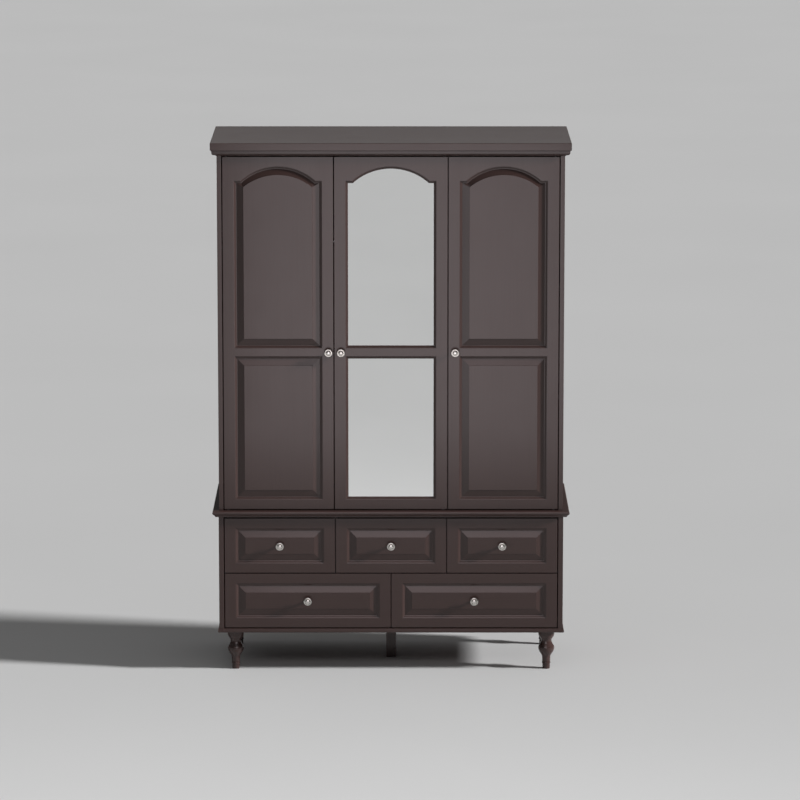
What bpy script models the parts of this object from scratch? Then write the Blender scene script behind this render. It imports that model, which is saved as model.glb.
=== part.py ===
"""Armoire: a three-door wardrobe, the middle door mirrored, standing on a chest of five drawers.

Metres, +Z up.  The origin is on the floor, under the middle of the piece.  The front faces -Y.
Every door turns on a pin at its top and bottom edge, and every drawer slides out along -Y.
"""

import math

import bmesh
import bpy
from mathutils import Vector

# Overall size
BODY_WIDTH = 1.403
BODY_DEPTH = 0.566
KNOB_REACH = 0.028
FRONT = (KNOB_REACH - BODY_DEPTH) / 2
BACK = FRONT + BODY_DEPTH
HALF_BODY = BODY_WIDTH / 2
HALF_CHEST = HALF_BODY + 0.002

# Heights of the horizontal layers, from the floor up
LEG_TOP = 0.165
BASE_TOP = 0.182
ROW_SPLIT = 0.4135
WAIST_BOTTOM = 0.647
WAIST_TOP = 0.677
DOOR_BOTTOM = 0.681
DOOR_TOP = 2.127
CROWN_BOTTOM = 2.131
CROWN_SPLIT = 2.155
CROWN_TOP = 2.185

# Boards and gaps
FIT = 0.0003
BOARD = 0.018
THIN_BOARD = 0.016
BACK_BOARD = 0.006
BACK_INSET = 0.002
REVEAL = 0.004
FRONT_THICKNESS = 0.020
DOOR_SETBACK = 0.032
DRAWER_SETBACK = 0.022
HALF_CASE = HALF_BODY - BOARD
HALF_OPENING = HALF_CASE - REVEAL
MERGE = 0.000001

# Mouldings: how far each stands out past the body
CROWN_OVERHANG = 0.026
CROWN_CHAMFER = 0.0015
CROWN_MOULDING = (
    (0.0025, 0.0),
    (0.0040, 0.0020),
    (0.0075, 0.0034),
    (0.0120, 0.0044),
    (0.0155, 0.0060),
    (0.0183, 0.0088),
    (0.0198, 0.0120),
    (0.0201, 0.0155),
    (0.0201, 0.0200),
    (0.0215, 0.0203),
)
WAIST_OVERHANG = 0.0265
WAIST_FRONT_RATIO = 1.04
WAIST_EDGE = (
    (0.0, 0.0),
    (0.0, 0.0038),
    (0.0150, 0.0043),
    (0.0156, 0.0060),
    (0.0170, 0.0086),
    (0.0195, 0.0115),
    (0.0225, 0.0142),
    (0.0252, 0.0170),
    (0.0263, 0.0195),
    (0.0265, 0.0225),
    (0.0260, 0.0255),
    (0.0246, 0.0280),
    (0.0223, 0.0295),
    (0.0195, 0.0300),
)
BASE_OVERHANG = 0.0075
BASE_FRONT_RATIO = 0.8
BASE_ROUND = 0.003
COVE_TOP = 0.212
COVE_STEPS = 5

# Frame-and-panel work on the doors and drawer fronts
OUTER_DOOR_WIDTH = 0.4465
STILE = 0.045
STICKING = 0.011
BEVEL_WIDTH = 0.028
LIP_DEPTH = 0.0082
GROOVE_END = 0.0134
GROOVE_REACH = 0.007
TONGUE_PLAY = 0.0005
FIELD_DEPTH = 0.0006
FIELD_STEP = 0.0018
LOWER_PANEL_BOTTOM = 0.732
LOWER_PANEL_TOP = 1.303
UPPER_PANEL_BOTTOM = 1.357
ARCH_APEX = 2.0895 - STICKING
ARCH_RISE = 0.0585
SHOULDER_WIDTH = 0.020
FIELD_APEX = 2.054
FIELD_RISE = 0.050
ARCH_STEPS = 14

# Mirror let into the back of the middle door
MIRROR_LEDGE = 0.010
MIRROR_DEPTH = 0.009
MIRROR_THICKNESS = 0.004
MIRROR_PLAY = 0.0006

# Drawers
DRAWER_STICK_SIDE = 0.044
DRAWER_STICK_TOP = 0.0395
DRAWER_STICK_BOTTOM = 0.0385
DRAWER_STICKING = 0.012
DRAWER_BEVEL = 0.028
DRAWER_QUIRK = 0.0078
BOX_LENGTH = 0.470
BOX_HEIGHT = 0.165
BOX_WALL = 0.012
BOX_BOTTOM = 0.008
BOX_CLEARANCE = 0.003
BOX_LIFT = 0.002

# Pivot pins
PIN_RADIUS = 0.003
PIN_CLEARANCE = 0.0004
PIN_DEPTH = 0.012
PIN_INSET = 0.016
PIN_SETBACK = 0.008
COLLAR_RADIUS = 0.0065
COLLAR_GAP = 0.0005
PIN_SEGMENTS = 12

# Knobs
KNOB_HEIGHT = 1.330
KNOB_INSETS = {"left": 0.0205, "centre": 0.0260, "right": 0.0275}
KNOB_SEGMENTS = 20

# Legs
FOOT_X = 0.639
FOOT_FRONT_Y = FRONT + 0.0635
FOOT_REAR_Y = FRONT + 0.497
FOOT_SEGMENTS = 20
LEG_SIDE = 0.041
LEG_Y = FRONT + 0.276

# Inside the wardrobe
PARTITION_X = HALF_OPENING - OUTER_DOOR_WIDTH - REVEAL / 2
HAT_SHELF_Z = 1.800
SIDE_SHELF_Z = (1.130, 1.580)
RAIL_Z = 1.745
RAIL_Y = FRONT + 0.295
RAIL_RADIUS = 0.0125
RAIL_WALL = 0.0015
RAIL_SEGMENTS = 16
SOCKET_FLANGE = 0.024
SOCKET_CUP = 0.016
SOCKET_BASE = 0.003
SOCKET_DEPTH = 0.014


def clear_scene():
    for obj in list(bpy.data.objects):
        bpy.data.objects.remove(obj, do_unlink=True)


def make_material(name, colour, roughness, metallic=0.0):
    material = bpy.data.materials.new(name)
    material.use_nodes = True
    shader = material.node_tree.nodes["Principled BSDF"]
    shader.inputs["Base Color"].default_value = (*colour, 1.0)
    shader.inputs["Roughness"].default_value = roughness
    shader.inputs["Metallic"].default_value = metallic
    return material


def add_object(name, bm, material, pivot=None):
    """Makes an object of a mesh that is laid out in world space, its origin on its pivot if it has one."""
    bmesh.ops.remove_doubles(bm, verts=bm.verts, dist=MERGE)
    bmesh.ops.recalc_face_normals(bm, faces=bm.faces)
    if pivot:
        bmesh.ops.translate(bm, verts=bm.verts, vec=-pivot.location)
    mesh = bpy.data.meshes.new(name)
    bm.to_mesh(mesh)
    bm.free()
    mesh.materials.append(material)
    obj = bpy.data.objects.new(name, mesh)
    obj.parent = pivot
    bpy.context.scene.collection.objects.link(obj)
    return obj


def add_pivot(name, location):
    """An empty on a joint's axis, for the pieces that move with it."""
    empty = bpy.data.objects.new(name, None)
    empty.location = location
    bpy.context.scene.collection.objects.link(empty)
    return empty


def smooth(obj):
    obj.data.shade_smooth()
    obj.data.set_sharp_from_angle(angle=math.radians(35))


def subtract(obj, cutter):
    cutter.display_type = "WIRE"
    cutter.hide_render = True
    cut = obj.modifiers.new("cut", "BOOLEAN")
    cut.operation = "DIFFERENCE"
    cut.solver = "EXACT"
    cut.object = cutter


def add_box(bm, low, high):
    size = Vector(high) - Vector(low)
    made = bmesh.ops.create_cube(bm, size=1.0)
    bmesh.ops.scale(bm, verts=made["verts"], vec=size)
    bmesh.ops.translate(bm, verts=made["verts"], vec=Vector(low) + size / 2)


def add_loft(bm, rings):
    """Joins rings of equal length with quads and closes both ends."""
    loops = [[bm.verts.new(point) for point in ring] for ring in rings]
    for loop, following in zip(loops, loops[1:]):
        for i, corner in enumerate(loop):
            j = (i + 1) % len(loop)
            bm.faces.new((corner, loop[j], following[j], following[i]))
    bm.faces.new(loops[0])
    bm.faces.new(loops[-1])


def add_turned(bm, profile, axis, centre, segments, closed=False):
    """Spins a profile of (radius, height) points round an axis through centre."""
    side = Vector(axis).orthogonal().normalized()
    points = [Vector(centre) + side * radius + Vector(axis) * height for radius, height in profile]
    verts = [bm.verts.new(point) for point in points]
    edges = [bm.edges.new(pair) for pair in zip(verts, verts[1:])]
    if closed:
        edges.append(bm.edges.new((verts[-1], verts[0])))
    bmesh.ops.spin(
        bm,
        geom=verts + edges,
        cent=centre,
        axis=axis,
        angle=math.tau,
        steps=segments,
        use_merge=True,
    )


def board(name, low, high, material):
    bm = bmesh.new()
    add_box(bm, low, high)
    return add_object(name, bm, material)


def turned(name, profile, axis, centre, segments, material, pivot=None, closed=False):
    bm = bmesh.new()
    add_turned(bm, profile, axis, centre, segments, closed)
    obj = add_object(name, bm, material, pivot)
    smooth(obj)
    return obj


def rectangle(half_or_range, bottom, top):
    """An upright rectangle's corners, given a half width or an (x0, x1) pair."""
    if isinstance(half_or_range, tuple):
        left, right = half_or_range
    else:
        left, right = -half_or_range, half_or_range
    return [(left, bottom), (right, bottom), (right, top), (left, top)]


def arch(half, bottom, shoulder, half_chord, apex):
    """A rectangle whose top rises in an arc between two level shoulders."""
    rise = apex - shoulder
    radius = (half_chord ** 2 + rise ** 2) / (2 * rise)
    reach = math.asin(half_chord / radius)
    outline = [(-half, bottom), (half, bottom), (half, shoulder)]
    for step in range(ARCH_STEPS + 1):
        angle = reach * (1 - 2 * step / ARCH_STEPS)
        outline.append((radius * math.sin(angle), apex - radius + radius * math.cos(angle)))
    outline.append((-half, shoulder))
    return outline


def grown_arch(half, bottom, growth):
    """The arched opening's outline, moved outward by growth all round."""
    shoulder = ARCH_APEX - ARCH_RISE
    half_chord = half - SHOULDER_WIDTH
    radius = (half_chord ** 2 + ARCH_RISE ** 2) / (2 * ARCH_RISE)
    centre = ARCH_APEX - radius
    chord = math.sqrt((radius + growth) ** 2 - (shoulder + growth - centre) ** 2)
    return arch(half + growth, bottom - growth, shoulder + growth, chord, ARCH_APEX + growth)


def upright(outline, centre_x, depth):
    """Stands a flat outline up, facing forward, at a depth behind the front plane."""
    return [(centre_x + x, FRONT + depth, z) for x, z in outline]


def slab_ring(overhang, front_ratio, z):
    """A board's outline at one height: it stands out at the front and sides, and is flush behind."""
    side = HALF_BODY + overhang
    front = FRONT - overhang * front_ratio
    return [(-side, front, z), (side, front, z), (side, BACK, z), (-side, BACK, z)]


def slab(name, profile, front_ratio, material):
    """A horizontal board whose front and side edges follow a profile of (overhang, height) points."""
    bm = bmesh.new()
    add_loft(bm, [slab_ring(overhang, front_ratio, z) for overhang, z in profile])
    return add_object(name, bm, material)


def build_crown(paint):
    edge = CROWN_OVERHANG - CROWN_CHAMFER
    profile = [
        (edge, CROWN_SPLIT),
        (CROWN_OVERHANG, CROWN_SPLIT + CROWN_CHAMFER),
        (CROWN_OVERHANG, CROWN_TOP - CROWN_CHAMFER),
        (edge, CROWN_TOP),
    ]
    slab("crown_board", profile, 1.0, paint)

    # The moulding's section: flat against the case, an S-curve outside that swells upward.
    top = CROWN_SPLIT - FIT
    section = [(FIT, CROWN_BOTTOM)]
    section += [(out, CROWN_BOTTOM + rise) for out, rise in CROWN_MOULDING]
    section += [(CROWN_MOULDING[-1][0], top), (FIT, top)]
    corners = ((-1, BACK, 0), (-1, FRONT, -1), (1, FRONT, -1), (1, BACK, 0))
    rings = []
    for side, y, forward in corners:
        rings.append([(side * (HALF_BODY + out), y + forward * out, z) for out, z in section])
    bm = bmesh.new()
    add_loft(bm, rings)
    add_object("crown_moulding", bm, paint)


def build_waist_and_base(paint):
    # The waist board has a rounded nose above, and slopes back in an S-curve to a narrow lip.
    profile = [(out, WAIST_BOTTOM + rise) for out, rise in WAIST_EDGE]
    waist = slab("waist_board", profile, WAIST_FRONT_RATIO, paint)

    profile = [
        (BASE_OVERHANG - BASE_ROUND, LEG_TOP),
        (BASE_OVERHANG, LEG_TOP + BASE_ROUND),
        (BASE_OVERHANG, BASE_TOP - BASE_ROUND / 2),
        (BASE_OVERHANG - BASE_ROUND / 2, BASE_TOP),
    ]
    slab("base_board", profile, BASE_FRONT_RATIO, paint)
    return waist


def build_upper_case(paint):
    behind = BACK - BACK_INSET - BACK_BOARD
    for label, side in (("left", -1), ("right", 1)):
        edges = sorted((side * HALF_CASE, side * HALF_BODY))
        low = (edges[0], FRONT, WAIST_TOP + FIT)
        high = (edges[1], BACK, CROWN_SPLIT - FIT)
        board(f"upper_side_{label}", low, high, paint)
    inner = HALF_CASE - FIT
    top = board(
        "top_panel",
        (-inner, FRONT, CROWN_BOTTOM),
        (inner, behind - FIT, CROWN_SPLIT - FIT),
        paint,
    )
    board(
        "upper_back_panel",
        (-inner, behind, WAIST_TOP + FIT),
        (inner, BACK - BACK_INSET, CROWN_SPLIT - FIT),
        paint,
    )
    near = FRONT + DOOR_SETBACK
    far = behind - FIT
    partition_left = PARTITION_X - BOARD / 2
    partition_right = PARTITION_X + BOARD / 2
    board(
        "upper_partition",
        (partition_left, near, WAIST_TOP + FIT),
        (partition_right, far, CROWN_BOTTOM - FIT),
        paint,
    )
    board(
        "hat_shelf",
        (-inner, near, HAT_SHELF_Z),
        (partition_left - FIT, far, HAT_SHELF_Z + BOARD),
        paint,
    )
    for label, z in zip(("lower", "upper"), SIDE_SHELF_Z):
        board(f"side_shelf_{label}", (partition_right + FIT, near, z), (inner, far, z + BOARD), paint)
    return top


def build_hanging_rail(steel):
    left = -HALF_CASE + FIT
    right = PARTITION_X - BOARD / 2 - FIT
    start = left + SOCKET_BASE + FIT
    length = right - SOCKET_BASE - FIT - start
    bore = RAIL_RADIUS - RAIL_WALL
    profile = [(RAIL_RADIUS, 0), (RAIL_RADIUS, length), (bore, length), (bore, 0)]
    centre = (start, RAIL_Y, RAIL_Z)
    turned("hanging_rail", profile, (1, 0, 0), centre, RAIL_SEGMENTS, steel, closed=True)
    mouth = RAIL_RADIUS + FIT * 2
    cup = [
        (0, 0),
        (SOCKET_FLANGE, 0),
        (SOCKET_FLANGE, SOCKET_BASE),
        (SOCKET_CUP, SOCKET_BASE),
        (SOCKET_CUP, SOCKET_DEPTH),
        (mouth, SOCKET_DEPTH),
        (mouth, SOCKET_BASE),
        (0, SOCKET_BASE),
    ]
    for label, x, way in (("left", left, 1), ("right", right, -1)):
        turned(f"rail_socket_{label}", cup, (way, 0, 0), (x, RAIL_Y, RAIL_Z), RAIL_SEGMENTS, steel)


def build_chest_case(paint):
    behind = BACK - BACK_INSET - BACK_BOARD
    low = BASE_TOP + FIT
    high = WAIST_BOTTOM - FIT
    for label, side in (("left", -1), ("right", 1)):
        # Each side swells outward in a shallow cove where it meets the base board.
        section = [(HALF_CASE, low), (HALF_CASE, high), (HALF_CHEST, high)]
        reach = HALF_BODY + BASE_OVERHANG - BASE_ROUND - HALF_CHEST
        for step in range(COVE_STEPS + 1):
            angle = math.radians(90) * step / COVE_STEPS
            swell = reach * (1 - math.cos(angle))
            section.append((HALF_CHEST + swell, COVE_TOP - (COVE_TOP - low) * math.sin(angle)))
        bm = bmesh.new()
        add_loft(bm, [[(side * x, y, z) for x, z in section] for y in (FRONT, BACK)])
        add_object(f"chest_side_{label}", bm, paint)
    inner = HALF_CASE - FIT
    board("chest_back_panel", (-inner, behind, low), (inner, BACK - BACK_INSET, high), paint)
    near = FRONT + DRAWER_SETBACK
    far = behind - FIT
    split_low = ROW_SPLIT - THIN_BOARD / 2
    split_high = ROW_SPLIT + THIN_BOARD / 2
    board("chest_dust_board", (-inner, near, split_low), (inner, far, split_high), paint)
    upper_x = drawer_edges(3)[1][0] - REVEAL / 2
    dividers = (
        ("left", upper_x, split_high + FIT, high),
        ("right", -upper_x, split_high + FIT, high),
        ("centre", 0.0, low, split_low - FIT),
    )
    for label, x, z0, z1 in dividers:
        half = THIN_BOARD / 2
        board(f"chest_divider_{label}", (x - half, near, z0), (x + half, far, z1), paint)


def foot_profile():
    """A turned foot, from the floor up: toe, ring, shaft, vase, neck and flared top."""
    return [
        (0, 0),
        (0.0150, 0),
        (0.0153, 0.0090),
        (0.0154, 0.0150),
        (0.0166, 0.0175),
        (0.0174, 0.0215),
        (0.0174, 0.0255),
        (0.0169, 0.0300),
        (0.0168, 0.0400),
        (0.0172, 0.0500),
        (0.0197, 0.0575),
        (0.0245, 0.0650),
        (0.0292, 0.0725),
        (0.0322, 0.0800),
        (0.0331, 0.0870),
        (0.0320, 0.0940),
        (0.0284, 0.1010),
        (0.0240, 0.1085),
        (0.0215, 0.1165),
        (0.0222, 0.1220),
        (0.0252, 0.1280),
        (0.0291, 0.1340),
        (0.0323, 0.1410),
        (0.0335, 0.1480),
        (0.0335, LEG_TOP - FIT),
        (0, LEG_TOP - FIT),
    ]


def build_legs(paint):
    places = (("front", FOOT_FRONT_Y), ("rear", FOOT_REAR_Y))
    for row, y in places:
        for label, side in (("left", -1), ("right", 1)):
            centre = (side * FOOT_X, y, 0)
            turned(f"foot_{row}_{label}", foot_profile(), (0, 0, 1), centre, FOOT_SEGMENTS, paint)
    half = LEG_SIDE / 2
    board("centre_leg", (-half, LEG_Y - half, 0), (half, LEG_Y + half, LEG_TOP - FIT), paint)


def knob_profile():
    """A knob from its rose outward: foot, neck, rim ring, groove and domed boss."""
    return [
        (0, FIT),
        (0.0085, FIT),
        (0.0085, 0.002),
        (0.0055, 0.004),
        (0.0055, 0.011),
        (0.0130, 0.0155),
        (0.01725, 0.0195),
        (0.0160, 0.0235),
        (0.0125, 0.0240),
        (0.0110, 0.0228),
        (0.0095, 0.0255),
        (0.0050, 0.0275),
        (0, KNOB_REACH),
    ]


def build_knob(name, x, z, depth, nickel, pivot):
    centre = (x, FRONT + depth, z)
    turned(name, knob_profile(), (0, -1, 0), centre, KNOB_SEGMENTS, nickel, pivot)


def sticking_profile():
    """The moulded edge round each opening, as (outward growth, depth) from the front face inward."""
    return [
        (STICKING, -0.002),
        (STICKING, 0.0010),
        (STICKING * 0.80, 0.0018),
        (STICKING * 0.42, 0.0042),
        (0.0008, 0.0056),
        (0, LIP_DEPTH),
    ]


def add_opening_cutter(bm, outline, centre_x, grooved):
    """The empty space of one opening, as grown outlines at each depth.  outline(growth) gives them."""
    profile = sticking_profile()
    if grooved:
        profile.append((GROOVE_REACH, LIP_DEPTH))
        profile.append((GROOVE_REACH, GROOVE_END))
        profile.append((0, GROOVE_END))
    profile.append((0, FRONT_THICKNESS + 0.002))
    add_loft(bm, [upright(outline(growth), centre_x, depth) for growth, depth in profile])


def add_pin_bore(bm, x, z0, z1):
    radius = PIN_RADIUS + PIN_CLEARANCE
    profile = [(0, 0), (radius, 0), (radius, z1 - z0), (0, z1 - z0)]
    add_turned(bm, profile, (0, 0, 1), (x, FRONT + PIN_SETBACK, z0), PIN_SEGMENTS)


def build_panel(name, rings, centre_x, paint, pivot):
    """A raised panel.  rings gives its outlines: tongue, quirk and field."""
    tongue, quirk, field = rings
    front = LIP_DEPTH + FIT
    back = GROOVE_END - FIT
    levels = [
        (tongue, back),
        (tongue, front),
        (quirk, front),
        (field, FIELD_STEP),
        (field, FIELD_DEPTH),
    ]
    bm = bmesh.new()
    add_loft(bm, [upright(outline, centre_x, depth) for outline, depth in levels])
    return add_object(name, bm, paint, pivot)


def build_pivots(label, x, steel, pivot):
    """A pin with a collar that fills the gap between the door and the board it turns in."""
    gap = DOOR_BOTTOM - WAIST_TOP
    reach = PIN_DEPTH - 2 * FIT
    collar = gap - 2 * COLLAR_GAP
    profile = [
        (0, -reach - collar / 2),
        (PIN_RADIUS, -reach - collar / 2),
        (PIN_RADIUS, -collar / 2),
        (COLLAR_RADIUS, -collar / 2),
        (COLLAR_RADIUS, collar / 2),
        (PIN_RADIUS, collar / 2),
        (PIN_RADIUS, reach + collar / 2),
        (0, reach + collar / 2),
    ]
    heights = (("top", (DOOR_TOP + CROWN_BOTTOM) / 2), ("bottom", (WAIST_TOP + DOOR_BOTTOM) / 2))
    for end, z in heights:
        centre = (x, FRONT + PIN_SETBACK, z)
        turned(f"door_{label}_pivot_{end}", profile, (0, 0, 1), centre, PIN_SEGMENTS, steel, pivot)


def build_door_frame(label, left, right, hinge_x, grooved, paint, pivot):
    centre = (left + right) / 2
    half = (right - left) / 2 - STILE - STICKING
    bm = bmesh.new()
    add_box(bm, (left, FRONT, DOOR_BOTTOM), (right, FRONT + FRONT_THICKNESS, DOOR_TOP))
    frame = add_object(f"door_{label}_frame", bm, paint, pivot)

    def upper(growth):
        return grown_arch(half, UPPER_PANEL_BOTTOM, growth)

    def lower(growth):
        return rectangle(half + growth, LOWER_PANEL_BOTTOM - growth, LOWER_PANEL_TOP + growth)

    bm = bmesh.new()
    add_opening_cutter(bm, upper, centre, grooved)
    add_opening_cutter(bm, lower, centre, grooved)
    add_pin_bore(bm, hinge_x, DOOR_BOTTOM - 0.001, DOOR_BOTTOM + PIN_DEPTH)
    add_pin_bore(bm, hinge_x, DOOR_TOP - PIN_DEPTH, DOOR_TOP + 0.001)
    subtract(frame, add_object(f"cutter_{label}", bm, paint, pivot))
    return frame, half, upper, lower


def build_panel_door(label, left, right, hinge_x, paint, pivot):
    frame, half, upper, lower = build_door_frame(label, left, right, hinge_x, True, paint, pivot)
    centre = (left + right) / 2
    tongue = GROOVE_REACH - TONGUE_PLAY
    field_half = half - BEVEL_WIDTH
    field = arch(
        field_half,
        UPPER_PANEL_BOTTOM + BEVEL_WIDTH,
        FIELD_APEX - FIELD_RISE,
        field_half,
        FIELD_APEX,
    )
    rings = (upper(tongue), upper(-0.001), field)
    build_panel(f"door_{label}_panel_upper", rings, centre, paint, pivot)
    rings = (lower(tongue), lower(-0.001), lower(-BEVEL_WIDTH))
    build_panel(f"door_{label}_panel_lower", rings, centre, paint, pivot)


def build_mirror_door(label, left, right, hinge_x, paint, glass, pivot):
    frame, half, upper, lower = build_door_frame(label, left, right, hinge_x, False, paint, pivot)
    centre = (left + right) / 2
    half_pocket = half + MIRROR_LEDGE
    bottom = LOWER_PANEL_BOTTOM - MIRROR_LEDGE
    top = ARCH_APEX + MIRROR_LEDGE
    pocket = rectangle(half_pocket, bottom, top)
    bm = bmesh.new()
    add_loft(bm, [upright(pocket, centre, d) for d in (MIRROR_DEPTH, FRONT_THICKNESS + 0.002)])
    subtract(frame, add_object(f"cutter_{label}_pocket", bm, paint, pivot))

    play = MIRROR_PLAY
    face = rectangle(half_pocket - play, bottom + play, top - play)
    pane_front = MIRROR_DEPTH + FIT
    pane_back = pane_front + MIRROR_THICKNESS
    layers = (
        ("mirror_pane", pane_front, pane_back, glass),
        ("mirror_backing", pane_back + FIT, FRONT_THICKNESS - FIT, paint),
    )
    for name, near, far, material in layers:
        bm = bmesh.new()
        add_loft(bm, [upright(face, centre, depth) for depth in (near, far)])
        add_object(name, bm, material, pivot)


def build_doors(paint, glass, nickel, steel, carcass):
    """The outer doors hang on the case sides, the middle one on its right edge.

    carcass holds the two boards that the pins turn in.
    """
    inner = HALF_OPENING - OUTER_DOOR_WIDTH
    middle = inner - REVEAL
    doors = (
        ("left", -HALF_OPENING, -inner, -1),
        ("centre", -middle, middle, 1),
        ("right", inner, HALF_OPENING, 1),
    )
    bm = bmesh.new()
    for label, left, right, hinge_side in doors:
        hinge_edge = right if hinge_side > 0 else left
        hinge_x = hinge_edge - hinge_side * PIN_INSET
        free_edge = left if hinge_side > 0 else right
        pivot = add_pivot(f"door_{label}_axis", (hinge_x, FRONT + PIN_SETBACK, DOOR_BOTTOM))
        if label == "centre":
            build_mirror_door(label, left, right, hinge_x, paint, glass, pivot)
        else:
            build_panel_door(label, left, right, hinge_x, paint, pivot)
        knob_x = free_edge + hinge_side * KNOB_INSETS[label]
        build_knob(f"door_{label}_knob", knob_x, KNOB_HEIGHT, 0.0, nickel, pivot)
        build_pivots(label, hinge_x, steel, pivot)
        add_pin_bore(bm, hinge_x, WAIST_TOP - PIN_DEPTH, WAIST_TOP + 0.001)
        add_pin_bore(bm, hinge_x, CROWN_BOTTOM - 0.001, CROWN_BOTTOM + PIN_DEPTH)
    bores = add_object("cutter_pin_bores", bm, paint)
    for board_object in carcass:
        subtract(board_object, bores)


def drawer_edges(count):
    """The left and right edges of each front in a row of equal fronts."""
    width = (2 * HALF_OPENING - (count - 1) * REVEAL) / count
    lefts = [-HALF_OPENING + i * (width + REVEAL) for i in range(count)]
    return [(left, left + width) for left in lefts]


def drawer_ring(left, right, bottom, top, inset, depth):
    """The sunk moulding's outline on a drawer front, inset from where it starts."""
    x_range = (left + DRAWER_STICK_SIDE + inset, right - DRAWER_STICK_SIDE - inset)
    low = bottom + DRAWER_STICK_BOTTOM + inset
    return upright(rectangle(x_range, low, top - DRAWER_STICK_TOP - inset), 0.0, depth)


def build_drawer(label, edges, bottom, top, cell, wood_paint, nickel, pivot):
    """A front with a sunk moulding and a raised field, a box behind it and a knob."""
    left, right = edges
    outer = rectangle((left, right), bottom, top)
    rings = [upright(outer, 0.0, FRONT_THICKNESS), upright(outer, 0.0, 0.0)]
    section = (
        (0.0, 0.0),
        (0.0, 0.0010),
        (DRAWER_STICKING * 0.20, 0.0018),
        (DRAWER_STICKING * 0.58, 0.0046),
        (DRAWER_STICKING - 0.0008, 0.0064),
        (DRAWER_STICKING, DRAWER_QUIRK),
        (DRAWER_STICKING + 0.001, DRAWER_QUIRK),
        (DRAWER_STICKING + DRAWER_BEVEL, FIELD_STEP),
        (DRAWER_STICKING + DRAWER_BEVEL, FIELD_DEPTH),
    )
    rings += [drawer_ring(left, right, bottom, top, inset, depth) for inset, depth in section]
    bm = bmesh.new()
    add_loft(bm, rings)
    add_object(f"drawer_{label}_front", bm, wood_paint, pivot)

    cell_left, cell_right, cell_floor = cell
    near = FRONT + FRONT_THICKNESS + FIT
    low = (cell_left + BOX_CLEARANCE, near, cell_floor + BOX_LIFT)
    high = (cell_right - BOX_CLEARANCE, near + BOX_LENGTH, cell_floor + BOX_LIFT + BOX_HEIGHT)
    bm = bmesh.new()
    add_box(bm, low, high)
    bm.normal_update()
    lid = max(bm.faces, key=lambda face: face.calc_center_median().z)
    bmesh.ops.inset_region(bm, faces=[lid], thickness=BOX_WALL)
    hollow = bmesh.ops.extrude_face_region(bm, geom=[lid])["geom"]
    sunk = [part for part in hollow if isinstance(part, bmesh.types.BMVert)]
    bmesh.ops.translate(bm, verts=sunk, vec=(0, 0, BOX_BOTTOM - BOX_HEIGHT))
    bmesh.ops.delete(bm, geom=[lid], context="FACES_ONLY")
    add_object(f"drawer_{label}_box", bm, wood_paint, pivot)

    middle = (bottom + top) / 2
    build_knob(f"drawer_{label}_knob", (left + right) / 2, middle, FIELD_DEPTH, nickel, pivot)


def build_drawers(paint, nickel):
    lower_floor = BASE_TOP
    upper_floor = ROW_SPLIT + THIN_BOARD / 2
    half_gap = REVEAL / 2
    rows = (
        ("lower", ("left", "right"), BASE_TOP + REVEAL, ROW_SPLIT - half_gap, lower_floor),
        ("upper", ("left", "centre", "right"), ROW_SPLIT + half_gap, WAIST_BOTTOM - 0.005, upper_floor),
    )
    for row, labels, bottom, top, floor in rows:
        all_edges = drawer_edges(len(labels))
        walls = [-HALF_CASE - THIN_BOARD / 2]
        walls += [right + half_gap for left, right in all_edges[:-1]]
        walls.append(HALF_CASE + THIN_BOARD / 2)
        for i, (label, edges) in enumerate(zip(labels, all_edges)):
            cell = (walls[i] + THIN_BOARD / 2, walls[i + 1] - THIN_BOARD / 2, floor)
            name = f"{row}_{label}"
            place = (sum(edges) / 2, FRONT, (bottom + top) / 2)
            pivot = add_pivot(f"drawer_{name}_axis", place)
            build_drawer(name, edges, bottom, top, cell, paint, nickel, pivot)


def main():
    clear_scene()
    paint = make_material("espresso_paint", (0.070, 0.052, 0.048), 0.45)
    glass = make_material("mirror_glass", (0.90, 0.91, 0.91), 0.02, 1.0)
    nickel = make_material("brushed_nickel", (0.62, 0.60, 0.57), 0.28, 1.0)
    steel = make_material("bright_steel", (0.60, 0.60, 0.61), 0.25, 1.0)
    build_crown(paint)
    waist = build_waist_and_base(paint)
    top = build_upper_case(paint)
    build_hanging_rail(steel)
    build_chest_case(paint)
    build_legs(paint)
    build_doors(paint, glass, nickel, steel, (waist, top))
    build_drawers(paint, nickel)


main()
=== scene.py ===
"""How the armoire looks: satin espresso paint on moulded woodwork, a silvered mirror and nickel knobs.

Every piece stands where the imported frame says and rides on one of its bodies.
Metres, +Z up; the front faces -Y.
"""

import math

import bmesh
import bpy
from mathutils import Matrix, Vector


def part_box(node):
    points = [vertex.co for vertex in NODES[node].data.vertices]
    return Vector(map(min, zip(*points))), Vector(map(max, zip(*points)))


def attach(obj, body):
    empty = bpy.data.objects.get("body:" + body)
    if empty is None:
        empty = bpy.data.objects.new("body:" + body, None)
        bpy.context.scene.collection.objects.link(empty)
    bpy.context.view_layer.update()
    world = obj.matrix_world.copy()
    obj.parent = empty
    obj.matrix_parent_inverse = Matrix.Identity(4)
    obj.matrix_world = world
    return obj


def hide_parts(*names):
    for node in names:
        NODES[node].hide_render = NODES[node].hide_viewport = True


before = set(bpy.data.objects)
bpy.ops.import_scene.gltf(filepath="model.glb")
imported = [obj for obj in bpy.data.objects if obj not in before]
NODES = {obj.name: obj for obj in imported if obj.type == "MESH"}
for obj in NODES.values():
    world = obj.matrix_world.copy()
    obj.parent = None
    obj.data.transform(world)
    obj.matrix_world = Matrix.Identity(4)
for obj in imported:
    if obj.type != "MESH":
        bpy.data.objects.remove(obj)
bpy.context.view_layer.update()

CARCASS = "carcass"
DOORS = ("left", "centre", "right")
DRAWERS = ("upper_left", "upper_centre", "upper_right", "lower_left", "lower_right")

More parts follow.
